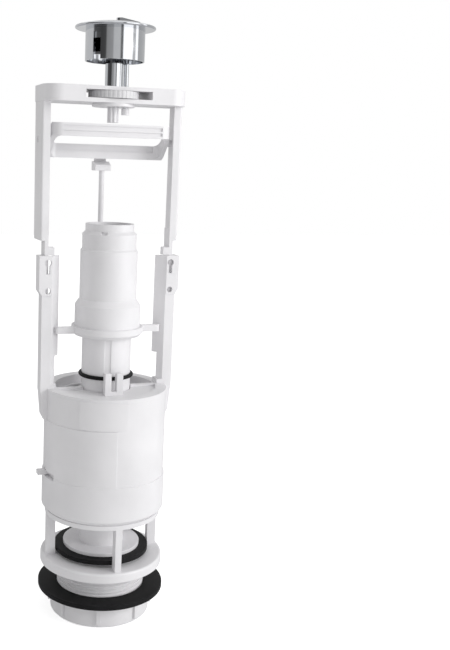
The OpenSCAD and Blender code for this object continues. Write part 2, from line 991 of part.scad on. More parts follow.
// Section of an upper leg: side web and front flange with a round outer corner
module strap_section() {
    difference() {
        union() {
            translate([strap_in_r, strap_front])
                square([upper_out_r - strap_round - strap_in_r, strap_depth]);
            translate([strap_in_r, strap_front + strap_round])
                square([upper_out_r - strap_in_r, strap_depth - strap_round]);
            translate([upper_out_r - strap_round, strap_front + strap_round])
                circle(r = strap_round);
        }
        translate([strap_in_r - eps, strap_front + strap_web])
            square([upper_web_r - strap_in_r + eps, strap_depth]);
    }
}

// Right upper leg: angle section, narrow tongue and stop lug
module upper_leg() {
    translate([0, 0, strap_end])
        linear_extrude(bridge_bottom + eps - strap_end)
            strap_section();
    block([strap_in_r, strap_front, tongue_bottom],
        [strap_out_r, strap_front + tongue_depth, strap_end + tongue_root]);
    block([strap_in_r - stop_w, strap_front, leg_top + free_gap],
        [strap_in_r + eps, strap_front + stop_depth, leg_top + free_gap + stop_h]);
}

// Upper frame: bridge with the nut window, and two legs
module upper_frame() {
    pocket_w = strap_in_r - nut_window_w / 2 - pocket_margin;
    pocket_x = (strap_in_r + nut_window_w / 2 + pocket_margin) / 2;
    pocket_depth = bridge_depth - front_corner - 2 * pocket_margin;
    color(white_plastic)
        difference() {
            union() {
                translate([0, 0, bridge_bottom])
                    linear_extrude(bridge_h)
                        bridge_plan();
                both_sides()
                    upper_leg();
            }
            block([-nut_window_w / 2, bridge_front - eps, nut_window_z],
                [nut_window_w / 2, bridge_front + bridge_depth + eps, nut_window_z + nut_window_h]);
            post(bridge_bottom - eps, bridge_top + eps, bushing_r);
            for (side = [-1, 1]) {
                translate([side * pocket_x, bridge_front + bridge_depth / 2, bridge_top])
                    cube([pocket_w, pocket_depth, 2 * pocket_deep], center = true);
                translate([side * (upper_web_r - eps), pivot_y, pivot_z])
                    rotate([0, side * 90, 0])
                        cylinder(r = axle_d / 2 + run_gap, h = strap_web + 2 * eps);
            }
        }
}

// Bushing in the bridge, with a lip below, the bore of the stem and the way of the thin rod
module stem_bushing() {
    bushing_low = bridge_bottom - bushing_lip_t;
    rod_way_r = half_rod_d / 2 + free_gap;
    color(white_plastic)
        difference() {
            union() {
                post(bushing_low, bridge_bottom, bushing_lip_r);
                post(bushing_low, bridge_top, bushing_r);
            }
            post(bushing_low - eps, bridge_top + eps, stem_d / 2);
            translate([half_rod_x, 0, 0])
                post(bushing_low - eps, bridge_top + eps, rod_way_r);
            block([0, -rod_way_r, bushing_low - eps], [half_rod_x, rod_way_r, bridge_top + eps]);
        }
}

// Chrome stem tube from the bushing up to the cup floor
module stem_tube() {
    color(chrome_plate)
        pipe(bridge_bottom - bushing_lip_t, cup_floor_top, stem_d / 2, push_r + free_gap);
}

// Knurled disc nut in the bridge window
module height_nut() {
    nut_z = nut_window_z + free_gap;
    color(grey_plastic)
        difference() {
            pipe(nut_z, nut_z + height_nut_t, height_nut_d / 2, bushing_r + run_gap);
            for (i = [0 : knurl_count - 1])
                rotate(i * 360 / knurl_count)
                    translate([height_nut_d / 2, 0, 0])
                        post(nut_z - eps, nut_z + height_nut_t + eps, knurl_r);
        }
}

// Bezel, skirt and the cup floor that carries the stem and the spring
module bezel() {
    edge_r = bezel_d / 2 - bezel_edge_r;
    edge_z = bezel_bottom + bezel_edge_r;
    crown_z = bezel_bottom + bezel_rise;
    color(chrome_plate)
        difference() {
            union() {
                pipe(skirt_bottom, bezel_bottom + eps, skirt_d / 2, skirt_bore_r);
                pipe(cup_floor_top - cup_floor_t, cup_floor_top, skirt_bore_r + eps, stem_d / 2);
                rotate_extrude()
                    union() {
                        translate([edge_r, edge_z])
                            circle(r = bezel_edge_r);
                        intersection() {
                            polygon([
                                [skirt_bore_r, bezel_bottom],
                                [edge_r, bezel_bottom],
                                [edge_r, crown_z + eps],
                                [skirt_bore_r, crown_z + eps]
                            ]);
                            dome(skirt_bore_r, crown_z, edge_r, edge_z + bezel_edge_r * edge_share);
                        }
                    }
            }
            translate([half_rod_x, 0, 0])
                post(cup_floor_top - cup_floor_t - eps, cup_floor_top + eps, half_rod_notch_r);
            rotate(skirt_slot_angle)
                block([skirt_bore_r - eps, -skirt_slot_w / 2, skirt_bottom - eps],
                    [skirt_d / 2 + eps, skirt_slot_w / 2, bezel_bottom - skirt_slot_top]);
        }
}

// Circle centred on the axis that passes through two points of a crown
module dome(r_in, z_in, r_out, z_out) {
    rise = z_in - z_out;
    below = (r_out * r_out - r_in * r_in - rise * rise) / (2 * rise);
    translate([0, z_out - below])
        circle(r = sqrt(r_out * r_out + below * below));
}

// Outline of the half flush button from above: a pie slice with a round nose
module wedge_plan(grow) {
    half = wedge_spread / 2;
    nose = wedge_nose_r + grow;
    centre_x = wedge_nose_x + wedge_nose_r;
    apex_x = centre_x - nose / sin(half);
    side = nose / tan(half);
    far = 2 * button_r;
    intersection() {
        circle(r = wedge_r + grow);
        union() {
            translate([centre_x, 0])
                circle(r = nose);
            polygon([
                [apex_x + side * cos(half), side * sin(half)],
                [apex_x + far * cos(half), far * sin(half)],
                [apex_x + far * cos(half), -far * sin(half)],
                [apex_x + side * cos(half), -side * sin(half)]
            ]);
        }
    }
}

// Full flush button: domed disc with the pocket of the half flush button
module full_button() {
    crown_z = button_edge_z + button_rise;
    color(chrome_plate)
        difference() {
            rotate_extrude()
                intersection() {
                    translate([0, hub_floor_z])
                        square([button_r, crown_z - hub_floor_z]);
                    dome(0, crown_z, button_r, button_edge_z);
                }
            difference() {
                post(hub_floor_z - eps, button_edge_z - button_wall, button_r - button_wall);
                translate([0, 0, hub_floor_z - 2 * eps])
                    linear_extrude(crown_z - hub_floor_z)
                        union() {
                            wedge_plan(button_gap + button_wall);
                            circle(r = push_r + button_wall + spring_wire);
                        }
            }
            translate([0, 0, hub_floor_z + hub_floor_t])
                linear_extrude(crown_z - hub_floor_z)
                    wedge_plan(button_gap);
            translate([half_rod_x, 0, 0])
                post(hub_floor_z - eps, crown_z, half_rod_d / 2 + free_gap);
        }
}

// White push rod inside the stem tube
module full_push_rod() {
    color(white_plastic)
        post(push_bottom, hub_floor_z, push_r);
}

// Return spring under the full flush button
module full_spring() {
    color(spring_steel)
        coil(cup_floor_top, hub_floor_z, spring_r, spring_wire, spring_turns);
}

// Half flush button, high at its nose and level with the disc at the rim
module half_button() {
    color(chrome_plate)
        intersection() {
            translate([0, 0, wedge_bottom])
                linear_extrude(wedge_top - wedge_bottom)
                    wedge_plan(0);
            translate([0, button_r, 0])
                rotate([90, 0, 0])
                    linear_extrude(2 * button_r)
                        polygon([
                            [0, wedge_bottom],
                            [wedge_r, wedge_bottom],
                            [wedge_r, wedge_rim_z],
                            [wedge_nose_x + wedge_nose_r, wedge_top],
                            [0, wedge_top]
                        ]);
        }
}

// Thin chrome rod of the half flush button
module half_push_rod() {
    color(chrome_plate)
        translate([half_rod_x, 0, 0])
            post(half_foot_bottom + half_foot_t, wedge_bottom, half_rod_d / 2);
}

// White foot on the lower end of the thin rod
module half_rod_foot() {
    color(white_plastic)
        translate([half_rod_x, 0, 0])
            difference() {
                post(half_foot_bottom, half_foot_bottom + half_foot_h, half_foot_r);
                post(half_foot_bottom + half_foot_t, half_foot_bottom + half_foot_h + eps,
                    half_rod_d / 2);
            }
}

// Return spring under the half flush button
module half_spring() {
    color(spring_steel)
        translate([half_rod_x, 0, 0])
            coil(hub_floor_z + hub_floor_t, wedge_bottom, half_spring_r, half_spring_wire,
                half_spring_turns);
}

valve_base();
tail_washer();
back_nut();
canister();
volume_ring();
float_bell();
lower_frame();
lid_clip();
seal_retainer();
seal_disc();
seal_holder();
overflow_tube();
tower_sleeve();
sleeve_ring();
guide_collar();
tower();
lift_rod();
rod_hook();
rocker();
upper_frame();
stem_bushing();
stem_tube();
height_nut();
bezel();
full_button();
full_push_rod();
full_spring();
half_button();
half_push_rod();
half_rod_foot();
half_spring();
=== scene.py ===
# %% [markdown]
# # A dual flush valve for a toilet cistern
# The real object is a tall white plastic assembly: a threaded tail with a rubber washer and a back
# nut, a seat with a cage, a canister, an overflow tower, a telescopic frame and a chrome push button.
# Its solids come ready made, so this lesson starts from them. It adds the camera, the light and the
# finishes. It also makes a few shapes that the solids leave out, such as the screw thread, or that the
# picture shows a little differently, such as the slot in the skirt.

# %% Load the solids
import json
import math

import bmesh
import bpy
from mathutils import Matrix, Vector


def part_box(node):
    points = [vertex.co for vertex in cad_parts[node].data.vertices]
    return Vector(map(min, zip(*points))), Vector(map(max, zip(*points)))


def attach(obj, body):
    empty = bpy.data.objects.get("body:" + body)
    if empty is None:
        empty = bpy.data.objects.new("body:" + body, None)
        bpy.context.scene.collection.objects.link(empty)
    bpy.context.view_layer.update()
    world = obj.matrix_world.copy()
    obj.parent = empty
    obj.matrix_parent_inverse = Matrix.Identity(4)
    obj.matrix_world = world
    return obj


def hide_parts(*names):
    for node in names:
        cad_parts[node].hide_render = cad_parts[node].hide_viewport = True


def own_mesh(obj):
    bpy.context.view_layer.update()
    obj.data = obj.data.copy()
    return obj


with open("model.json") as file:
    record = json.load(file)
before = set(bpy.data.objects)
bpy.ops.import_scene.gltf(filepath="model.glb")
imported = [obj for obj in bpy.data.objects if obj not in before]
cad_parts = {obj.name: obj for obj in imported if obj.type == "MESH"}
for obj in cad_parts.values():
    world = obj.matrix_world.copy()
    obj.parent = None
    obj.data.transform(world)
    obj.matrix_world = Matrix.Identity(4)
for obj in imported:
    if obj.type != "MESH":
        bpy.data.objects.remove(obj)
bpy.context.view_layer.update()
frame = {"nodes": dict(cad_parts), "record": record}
scene = bpy.context.scene
scene.view_settings.view_transform = "Standard"
MM = 0.001

# %% [markdown]
# ## The camera
# The picture was taken a little from the left and a little from above, at about 0.6 m. Such a close
# camera makes the round rims open up towards the bottom of the picture. The valve stands left of the
# middle, and its top leans slightly to the right, so the camera gets a sideways shift and a small
# roll. The focal length follows from the height of the picture in pixels.

# %% Place the camera
picture_height = 650
focal_pixels = 895
axis_left_of_middle = 118
turn_left = math.radians(-17.5)
tilt_down = math.radians(10.4)
roll = math.radians(1.66)
distance = 0.580
eye_height = 0.3043

lens = bpy.data.cameras.new("picture_camera")
lens.sensor_fit = "VERTICAL"
lens.sensor_height = 24
lens.lens = lens.sensor_height * focal_pixels / picture_height
lens.shift_x = axis_left_of_middle / picture_height
camera = bpy.data.objects.new("picture_camera", lens)
scene.collection.objects.link(camera)
eye = Vector((math.sin(turn_left) * distance, -math.cos(turn_left) * distance, eye_height))
aim = Matrix.Rotation(turn_left, 4, "Z") @ Matrix.Rotation(math.pi / 2 - tilt_down, 4, "X")
camera.matrix_world = Matrix.Translation(eye) @ aim @ Matrix.Rotation(roll, 4, "Z")
scene.camera = camera
print("lens", round(lens.lens, 2), "mm, eye", [round(value, 4) for value in eye])

# %% [markdown]
# ## Helpers for finishes
# Colours are picked as sRGB hex values, but shaders calculate in linear light, so one function
# converts them. A second one adds a node, sets its properties and fills or links its inputs. With it,
# each finish below reads as a short list of nodes. The others start a material, with or without the
# usual shader, and fill a colour ramp.

# %% Helpers for colours and nodes
def linear(hex_colour):
    """Turn an sRGB hex value into the linear colour that a shader needs."""
    channels = [int(hex_colour[start:start + 2], 16) / 255 for start in (1, 3, 5)]
    straight = [c / 12.92 if c <= 0.04045 else ((c + 0.055) / 1.055) ** 2.4 for c in channels]
    return (*straight, 1.0)


def add(tree, kind, inputs=None, **settings):
    """Add one node, set its properties, and give each named input a value or a link."""
    made = tree.nodes.new(kind)
    for name, value in settings.items():
        setattr(made, name, value)
    for name, value in (inputs or {}).items():
        if isinstance(value, bpy.types.NodeSocket):
            tree.links.new(value, made.inputs[name])
        else:
            made.inputs[name].default_value = value
    return made


def empty_finish(name):
    """Start a material with an empty node tree."""
    finish = bpy.data.materials.new(name)
    finish.use_nodes = True
    finish.node_tree.nodes.clear()
    return finish, finish.node_tree


def new_finish(name):
    """Start a material that has one principled shader."""
    finish, tree = empty_finish(name)
    shader = add(tree, "ShaderNodeBsdfPrincipled")
    add(tree, "ShaderNodeOutputMaterial", {"Surface": shader.outputs["BSDF"]})
    return finish, tree, shader


def tint(ramp, *stops):
    """Give a colour ramp its stops, each a position and an sRGB hex value."""
    for element, (position, hex_colour) in zip(ramp.elements, stops):
        element.position = position
        element.color = linear(hex_colour)


print("white is", [round(value, 3) for value in linear("#ECECEB")])

# %% [markdown]
# ## White moulded polypropylene
# Most of the valve is polypropylene, moulded in polished steel. It is off-white and satin, a little
# milky, and never quite even: the melt leaves faint clouds some centimetres wide, and the surface has
# a fine orange peel. A cloudy noise mixes two near whites and shifts the gloss, and a fine noise gives
# the peel. The peel is drawn about 1 mm wide, coarser than the real one, so that it can show at all.

# %% Finish: white polypropylene
finishes = {}
plastic_ior = 1.49
peel_depth = 0.1 * MM
cloud_width = 38 * MM
peel_width = 1.1 * MM
finish, tree, shader = new_finish("moulded_white_polypropylene")
place = add(tree, "ShaderNodeTexCoord").outputs["Object"]
clouds = add(tree, "ShaderNodeTexNoise", {"Vector": place, "Scale": 1 / cloud_width, "Detail": 3.0})
tone = add(tree, "ShaderNodeValToRGB", {"Fac": clouds.outputs["Fac"]})
tint(tone.color_ramp, (0.3, "#E5E4E6"), (0.7, "#EFEEF0"))
gloss = add(tree, "ShaderNodeMapRange",
            {"Value": clouds.outputs["Fac"], "To Min": 0.30, "To Max": 0.46})
peel = add(tree, "ShaderNodeTexNoise", {"Vector": place, "Scale": 1 / peel_width, "Detail": 2.0})
relief = add(tree, "ShaderNodeBump",
             {"Height": peel.outputs["Fac"], "Strength": 0.10, "Distance": peel_depth})
tree.links.new(tone.outputs["Color"], shader.inputs["Base Color"])
tree.links.new(gloss.outputs["Result"], shader.inputs["Roughness"])
tree.links.new(relief.outputs["Normal"], shader.inputs["Normal"])
shader.inputs["IOR"].default_value = plastic_ior
finishes["white_plastic"] = finish
print("made", finish.name)

# %% [markdown]
# ## Pale grey plastic
# The disc nut in the bridge and the float inside the canister are moulded in a greyer plastic. It is
# the same kind of surface, so the same two noises are used, with darker tones and one even gloss.

# %% Finish: pale grey plastic
cloud_width = 20 * MM
peel_width = 0.8 * MM
finish, tree, shader = new_finish("moulded_pale_grey_plastic")
place = add(tree, "ShaderNodeTexCoord").outputs["Object"]
clouds = add(tree, "ShaderNodeTexNoise", {"Vector": place, "Scale": 1 / cloud_width, "Detail": 3.0})
tone = add(tree, "ShaderNodeValToRGB", {"Fac": clouds.outputs["Fac"]})
tint(tone.color_ramp, (0.0, "#CFCFD1"), (1.0, "#DFDEE0"))
peel = add(tree, "ShaderNodeTexNoise", {"Vector": place, "Scale": 1 / peel_width, "Detail": 2.0})
relief = add(tree, "ShaderNodeBump",
             {"Height": peel.outputs["Fac"], "Strength": 0.15, "Distance": peel_depth})
tree.links.new(tone.outputs["Color"], shader.inputs["Base Color"])
tree.links.new(relief.outputs["Normal"], shader.inputs["Normal"])
shader.inputs["Roughness"].default_value = 0.45
shader.inputs["IOR"].default_value = plastic_ior
finishes["grey_plastic"] = finish
print("made", finish.name)

# %% [markdown]
# ## Chrome plate
# The button, its skirt and the stem are chromed: a bright, slightly cool mirror. What the eye sees is
# mostly the room in it. Handling leaves faint smudges, which are patches a few millimetres wide where
# the mirror is a little softer. One noise drives the roughness for that, and a slight change of tone.

# %% Finish: chrome plate
smudge_width = 7 * MM
finish, tree, shader = new_finish("bright_chrome_plate")
place = add(tree, "ShaderNodeTexCoord").outputs["Object"]
smudge = add(tree, "ShaderNodeTexNoise", {"Vector": place, "Scale": 1 / smudge_width, "Detail": 4.0})
soft = add(tree, "ShaderNodeMapRange",
           {"Value": smudge.outputs["Fac"], "From Min": 0.35, "From Max": 0.75,
            "To Min": 0.05, "To Max": 0.13})
tone = add(tree, "ShaderNodeValToRGB", {"Fac": smudge.outputs["Fac"]})
tint(tone.color_ramp, (0.0, "#D3D5D9"), (1.0, "#DEE0E3"))
tree.links.new(tone.outputs["Color"], shader.inputs["Base Color"])
tree.links.new(soft.outputs["Result"], shader.inputs["Roughness"])
shader.inputs["Metallic"].default_value = 1.0
finishes["chrome_plate"] = finish
print("made", finish.name)

# %% [markdown]
# ## Black rubber
# The seal, the big washer and the ring round the sleeve are nitrile rubber, pressed in a mould. It is
# nearly black and dull, with a bloom of grey dust in patches and a pebbled skin. The pebbles are drawn
# 0.6 mm wide, larger than the real ones, to be seen at all.

# %% Finish: black rubber
bloom_width = 9 * MM
pebble_width = 0.6 * MM
pebble_depth = 0.12 * MM
finish, tree, shader = new_finish("pressed_black_rubber")
place = add(tree, "ShaderNodeTexCoord").outputs["Object"]
bloom = add(tree, "ShaderNodeTexNoise", {"Vector": place, "Scale": 1 / bloom_width, "Detail": 4.0})
tone = add(tree, "ShaderNodeValToRGB", {"Fac": bloom.outputs["Fac"]})
tint(tone.color_ramp, (0.4, "#0C0C0D"), (0.8, "#1A1A1C"))
pebble = add(tree, "ShaderNodeTexNoise", {"Vector": place, "Scale": 1 / pebble_width, "Detail": 3.0})
relief = add(tree, "ShaderNodeBump",
             {"Height": pebble.outputs["Fac"], "Strength": 0.3, "Distance": pebble_depth})
dull = add(tree, "ShaderNodeMapRange",
           {"Value": bloom.outputs["Fac"], "To Min": 0.52, "To Max": 0.72})
tree.links.new(tone.outputs["Color"], shader.inputs["Base Color"])
tree.links.new(dull.outputs["Result"], shader.inputs["Roughness"])
tree.links.new(relief.outputs["Normal"], shader.inputs["Normal"])
shader.inputs["IOR"].default_value = 1.52
shader.inputs["Specular IOR Level"].default_value = 0.22
finishes["black_rubber"] = finish
print("made", finish.name)

# %% [markdown]
# ## Spring wire
# The two springs are drawn stainless wire: grey metal with a soft shine and fine marks. They sit inside
# the skirt, where little of them is seen, so one noise for tone and shine is enough.

# %% Finish: spring wire
mark_width = 0.5 * MM
finish, tree, shader = new_finish("drawn_stainless_wire")
place = add(tree, "ShaderNodeTexCoord").outputs["Object"]
marks = add(tree, "ShaderNodeTexNoise", {"Vector": place, "Scale": 1 / mark_width, "Detail": 2.0})
tone = add(tree, "ShaderNodeValToRGB", {"Fac": marks.outputs["Fac"]})
tint(tone.color_ramp, (0.0, "#96989B"), (1.0, "#B9BBBD"))
shine = add(tree, "ShaderNodeMapRange",
            {"Value": marks.outputs["Fac"], "To Min": 0.22, "To Max": 0.40})
tree.links.new(tone.outputs["Color"], shader.inputs["Base Color"])
tree.links.new(shine.outputs["Result"], shader.inputs["Roughness"])
shader.inputs["Metallic"].default_value = 1.0
finishes["spring_steel"] = finish
print("made", finish.name)

# %% [markdown]
# ## Soft edges on the solids
# A moulded edge is never knife sharp: it has a radius of some tenths of a millimetre that catches the
# light. The solids come as loose triangles, so a Weld modifier joins them first, and a Bevel modifier
# then rounds every edge that turns by more than 30 degrees. A third modifier evens the shading of the
# flat faces. The solid itself stays as it is. Chrome and rubber get a smaller radius than the mouldings.

# %% Dress every solid
edge_radius = {
    "white_plastic": 0.35 * MM,
    "grey_plastic": 0.25 * MM,
    "chrome_plate": 0.15 * MM,
    "black_rubber": 0.20 * MM,
    "spring_steel": 0.0,
}
sharp_turn = math.radians(30)
join_distance = 0.002 * MM


def soften(piece, radius):
    """Join loose triangles and round the sharp edges of a piece."""
    weld = piece.modifiers.new("join", "WELD")
    weld.merge_threshold = join_distance
    if radius > 0:
        bevel = piece.modifiers.new("round", "BEVEL")
        bevel.width = radius
        bevel.segments = 2
        bevel.limit_method = "ANGLE"
        bevel.angle_limit = sharp_turn
        bevel.profile = 0.5
        bevel.material = -1
    smooth = piece.modifiers.new("even", "WEIGHTED_NORMAL")
    smooth.keep_sharp = True


slot_of = {part["node"]: part["material_slot"] for part in frame["record"]["subparts"]}
for node, piece in frame["nodes"].items():
    piece.data.materials.clear()
    piece.data.materials.append(finishes[slot_of[node]])
    soften(piece, edge_radius[slot_of[node]])
print("dressed", len(slot_of), "solids")

# %% [markdown]
# ## The screw thread of the tail
# The tail has a 2 inch pipe thread, 11 turns to the inch. Its solid is a plain cylinder, so here the
# tail is cut off below the seat and a threaded one takes its place. The thread is one tooth spun
# around the axis while it climbs by one pitch a turn. Neighbouring turns share their edges, so merging
# doubles gives one skin. Two planes then trim it. Its lower end is drawn in to the bore and up to its
# upper end, where the skin is closed.

# %% Cut the plain tail off a copy of the seat
seat_bottom = 35.5 * MM
cut_below_seat = 0.3 * MM
cut_height = seat_bottom - cut_below_seat


def mesh_object(mesh, name):
    """Turn a bmesh into an object of the scene."""
    data = bpy.data.meshes.new(name)
    mesh.to_mesh(data)
    mesh.free()
    made = bpy.data.objects.new(name, data)
    scene.collection.objects.link(made)
    return made


def finish_piece(mesh, name, body, slot):
    """Turn a bmesh into a piece that rides on a body and wears a finish."""
    bmesh.ops.recalc_face_normals(mesh, faces=mesh.faces)
    piece = mesh_object(mesh, name)
    piece.data.materials.append(finishes[slot])
    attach(piece, body)
    return piece


def copy_solid(node):
    """Copy the mesh of a solid, with its loose triangles joined."""
    mesh = bmesh.new()
    mesh.from_mesh(frame["nodes"][node].data)
    bmesh.ops.remove_doubles(mesh, verts=mesh.verts, dist=join_distance)
    return mesh


seat = copy_solid("valve_base")
everything = seat.verts[:] + seat.edges[:] + seat.faces[:]
bmesh.ops.bisect_plane(seat, geom=everything, plane_co=(0, 0, cut_height), plane_no=(0, 0, 1),
                       clear_inner=True)
open_edges = [edge for edge in seat.edges if edge.is_boundary]
bmesh.ops.bridge_loops(seat, edges=open_edges)
seat_piece = finish_piece(seat, "seat_and_cage", "base", "white_plastic")
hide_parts("valve_base")
print("seat and cage:", len(seat_piece.data.polygons), "faces")

# %% Spin the thread
pitch = 25.4 / 11 * MM
crest_radius = 29.78 * MM
root_radius = 28.5 * MM
root_until = 0.14
crest_from = 0.42
crest_until = 0.72
thread_bottom = 1.2 * MM
thread_into_seat = 0.5 * MM
thread_top = seat_bottom + thread_into_seat
turn_steps = 72
spare_turns = 2
turns = math.ceil((thread_top - thread_bottom) / pitch) + spare_turns

tail = bmesh.new()
tooth = [(root_radius, 0.0), (root_radius, root_until), (crest_radius, crest_from),
         (crest_radius, crest_until), (root_radius, 1.0)]
corners = [tail.verts.new((reach, 0, thread_bottom + (share - 1) * pitch)) for reach, share in tooth]
flanks = [tail.edges.new(pair) for pair in zip(corners, corners[1:])]
bmesh.ops.spin(tail, geom=corners + flanks, cent=(0, 0, 0), axis=(0, 0, 1), angle=turns * math.tau,
               dvec=(0, 0, pitch / turn_steps), steps=turns * turn_steps)
bmesh.ops.remove_doubles(tail, verts=tail.verts, dist=join_distance)
for height, way in ((thread_bottom, -1), (thread_top, 1)):
    everything = tail.verts[:] + tail.edges[:] + tail.faces[:]
    bmesh.ops.bisect_plane(tail, geom=everything, plane_co=(0, 0, height), plane_no=(0, 0, way),
                           clear_outer=True)
print("thread:", turns - spare_turns, "turns of", round(pitch / MM, 3), "mm")

# %% Close the thread to a tube
lead_radius = 28.1 * MM
bore_radius = 25.0 * MM
throat_radius = 25.65 * MM
throat_below_seat = 0.5 * MM
throat_height = seat_bottom - throat_below_seat


def draw_in(mesh, edges, radius, height):
    """Extrude a loop of edges to a circle of that radius at that height."""
    made = bmesh.ops.extrude_edge_only(mesh, edges=edges)["geom"]
    for vert in (item for item in made if isinstance(item, bmesh.types.BMVert)):
        flat = vert.co.xy.normalized() * radius
        vert.co = (flat.x, flat.y, height)
    return [item for item in made if isinstance(item, bmesh.types.BMEdge) and item.is_boundary]


middle = (thread_bottom + thread_top) / 2
rim = [edge for edge in tail.edges if edge.is_boundary]
lower = [edge for edge in rim if edge.verts[0].co.z < middle]
upper = [edge for edge in rim if edge.verts[0].co.z > middle]
lower = draw_in(tail, lower, lead_radius, 0)
lower = draw_in(tail, lower, bore_radius, 0)
lower = draw_in(tail, lower, bore_radius, throat_height)
lower = draw_in(tail, lower, throat_radius, throat_height)
lower = draw_in(tail, lower, throat_radius, thread_top)
bmesh.ops.bridge_loops(tail, edges=lower + upper)
tail_piece = finish_piece(tail, "threaded_tail", "base", "white_plastic")
print("threaded tail:", len(tail_piece.data.polygons), "faces")

# %% [markdown]
# ## The fluted push rod
# Under the bridge the end of the full flush rod shows as a white stub with grooves along it, as ribbed
# plastic rods have to save material. It could be cut with booleans, but a circle whose points go in
# and out, extruded along the axis, gives cleaner faces.

# %% Extrude the fluted rod
flutes = 8
points_per_flute = 6
groove_points = (2, 3, 4)
flute_depth = 0.75 * MM
rod_low, rod_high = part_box("full_push_rod")
rod_radius = (rod_high.x - rod_low.x) / 2

rod = bmesh.new()
bmesh.ops.create_circle(rod, cap_ends=True, segments=flutes * points_per_flute, radius=rod_radius)
for number, vert in enumerate(rod.verts):
    in_groove = number % points_per_flute in groove_points
    vert.co *= 1 - (flute_depth / rod_radius if in_groove else 0)
    vert.co.z = rod_low.z
raised = bmesh.ops.extrude_face_region(rod, geom=rod.faces[:])["geom"]
top_verts = [item for item in raised if isinstance(item, bmesh.types.BMVert)]
bmesh.ops.translate(rod, verts=top_verts, vec=(0, 0, rod_high.z - rod_low.z))
rod_piece = finish_piece(rod, "fluted_push_rod", "full", "white_plastic")
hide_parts("full_push_rod")
print("fluted rod:", flutes, "grooves")

# %% [markdown]
# ## The chrome bezel and its skirt
# The skirt screws onto the stem, so its slot may look any way, and in the picture it looks to the left
# of the camera. The bezel is therefore made again with the slot on that side. Its outline is spun once
# round the axis, and a Boolean modifier takes out the slot and the notch for the thin rod. Deleting and
# bridging faces by hand would also work, but the modifier cuts clean through the wall in one step.

# %% Spin the outline of the bezel
bezel_low, bezel_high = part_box("bezel")
skirt_radius = 18.6 * MM
skirt_bore = 17.7 * MM
skirt_height = 19.2 * MM
stem_radius = 5.75 * MM
floor_underside = bezel_low.z + 2.8 * MM
floor_topside = bezel_low.z + 4.3 * MM
rim_bottom = bezel_low.z + skirt_height
rim_round = 0.9 * MM
rim_centre = bezel_high.x - rim_round
rim_arc_degrees = range(-90, 61, 15)
crown_shares = (0.8, 0.6, 0.4, 0.2, 0.0)
bezel_steps = 144

outline = [(stem_radius, floor_underside), (skirt_bore, floor_underside), (skirt_bore, bezel_low.z),
           (skirt_radius, bezel_low.z), (skirt_radius, rim_bottom)]
for degrees in rim_arc_degrees:
    turn = math.radians(degrees)
    outline.append((rim_centre + rim_round * math.cos(turn),
                    rim_bottom + rim_round * (1 + math.sin(turn))))
edge_reach, edge_height = outline[-1]
for share in crown_shares:
    reach = skirt_bore + (edge_reach - skirt_bore) * share
    fall = (reach ** 2 - skirt_bore ** 2) / (edge_reach ** 2 - skirt_bore ** 2)
    outline.append((reach, bezel_high.z - (bezel_high.z - edge_height) * fall))
outline += [(skirt_bore, floor_topside), (stem_radius, floor_topside)]

bezel = bmesh.new()
corners = [bezel.verts.new((reach, 0, height)) for reach, height in outline]
sides = [bezel.edges.new(pair) for pair in zip(corners, corners[1:] + corners[:1])]
bmesh.ops.spin(bezel, geom=corners + sides, cent=(0, 0, 0), axis=(0, 0, 1), angle=math.tau,
               steps=bezel_steps, use_merge=True)
bezel_piece = finish_piece(bezel, "chrome_bezel", "frame", "chrome_plate")
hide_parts("bezel")
print("bezel outline:", len(outline), "points")

# %% Cut the slot and the notch
def block_at(direction, middle, size):
    """Matrix that makes a unit cube a block of that size, turned round the axis to a direction."""
    return Matrix.Rotation(direction, 4, "Z") @ Matrix.Translation(middle) @ Matrix.Diagonal((*size, 1))


def cut_away(piece, mesh):
    """Take the shape of a cutter out of a piece, and keep the result as its mesh."""
    cutter = mesh_object(mesh, "cutter")
    cut = piece.modifiers.new("cut", "BOOLEAN")
    cut.operation = "DIFFERENCE"
    cut.object = cutter
    seen_piece = piece.evaluated_get(bpy.context.evaluated_depsgraph_get())
    piece.data = bpy.data.meshes.new_from_object(seen_piece)
    piece.modifiers.clear()
    bpy.data.objects.remove(cutter)


slot_left_of_camera = math.radians(37)
slot_width = 5.6 * MM
slot_below_rim = 3.0 * MM
slot_top = rim_bottom - slot_below_rim
slot_inside = 17.3 * MM
thin_rod_from_axis = 7.95 * MM
notch_radius = 2.5 * MM
notch_points = 48
past = 1.0 * MM

camera_direction = math.atan2(eye.y, eye.x)
slot_size = (skirt_radius + past - slot_inside, slot_width, slot_top - bezel_low.z + past)
slot_middle = (slot_inside + slot_size[0] / 2, 0, slot_top - slot_size[2] / 2)
slot_place = block_at(camera_direction - slot_left_of_camera, slot_middle, slot_size)
notch_place = Matrix.Translation((thin_rod_from_axis, 0, (floor_underside + floor_topside) / 2))
cutter_mesh = bmesh.new()
bmesh.ops.create_cube(cutter_mesh, size=1, matrix=slot_place)
bmesh.ops.create_cone(cutter_mesh, cap_ends=True, segments=notch_points, radius1=notch_radius,
                      radius2=notch_radius, depth=floor_topside - floor_underside + past,
                      matrix=notch_place)
cut_away(bezel_piece, cutter_mesh)
print("cut bezel:", len(bezel_piece.data.polygons), "faces")

# %% [markdown]
# ## The small slot of the tower
# On the ledge under the rim of the cup, the picture shows a dark slot a few millimetres wide. It is cut
# into a copy of the tower with the same helpers, as a shallow pocket, because its depth can't be seen.

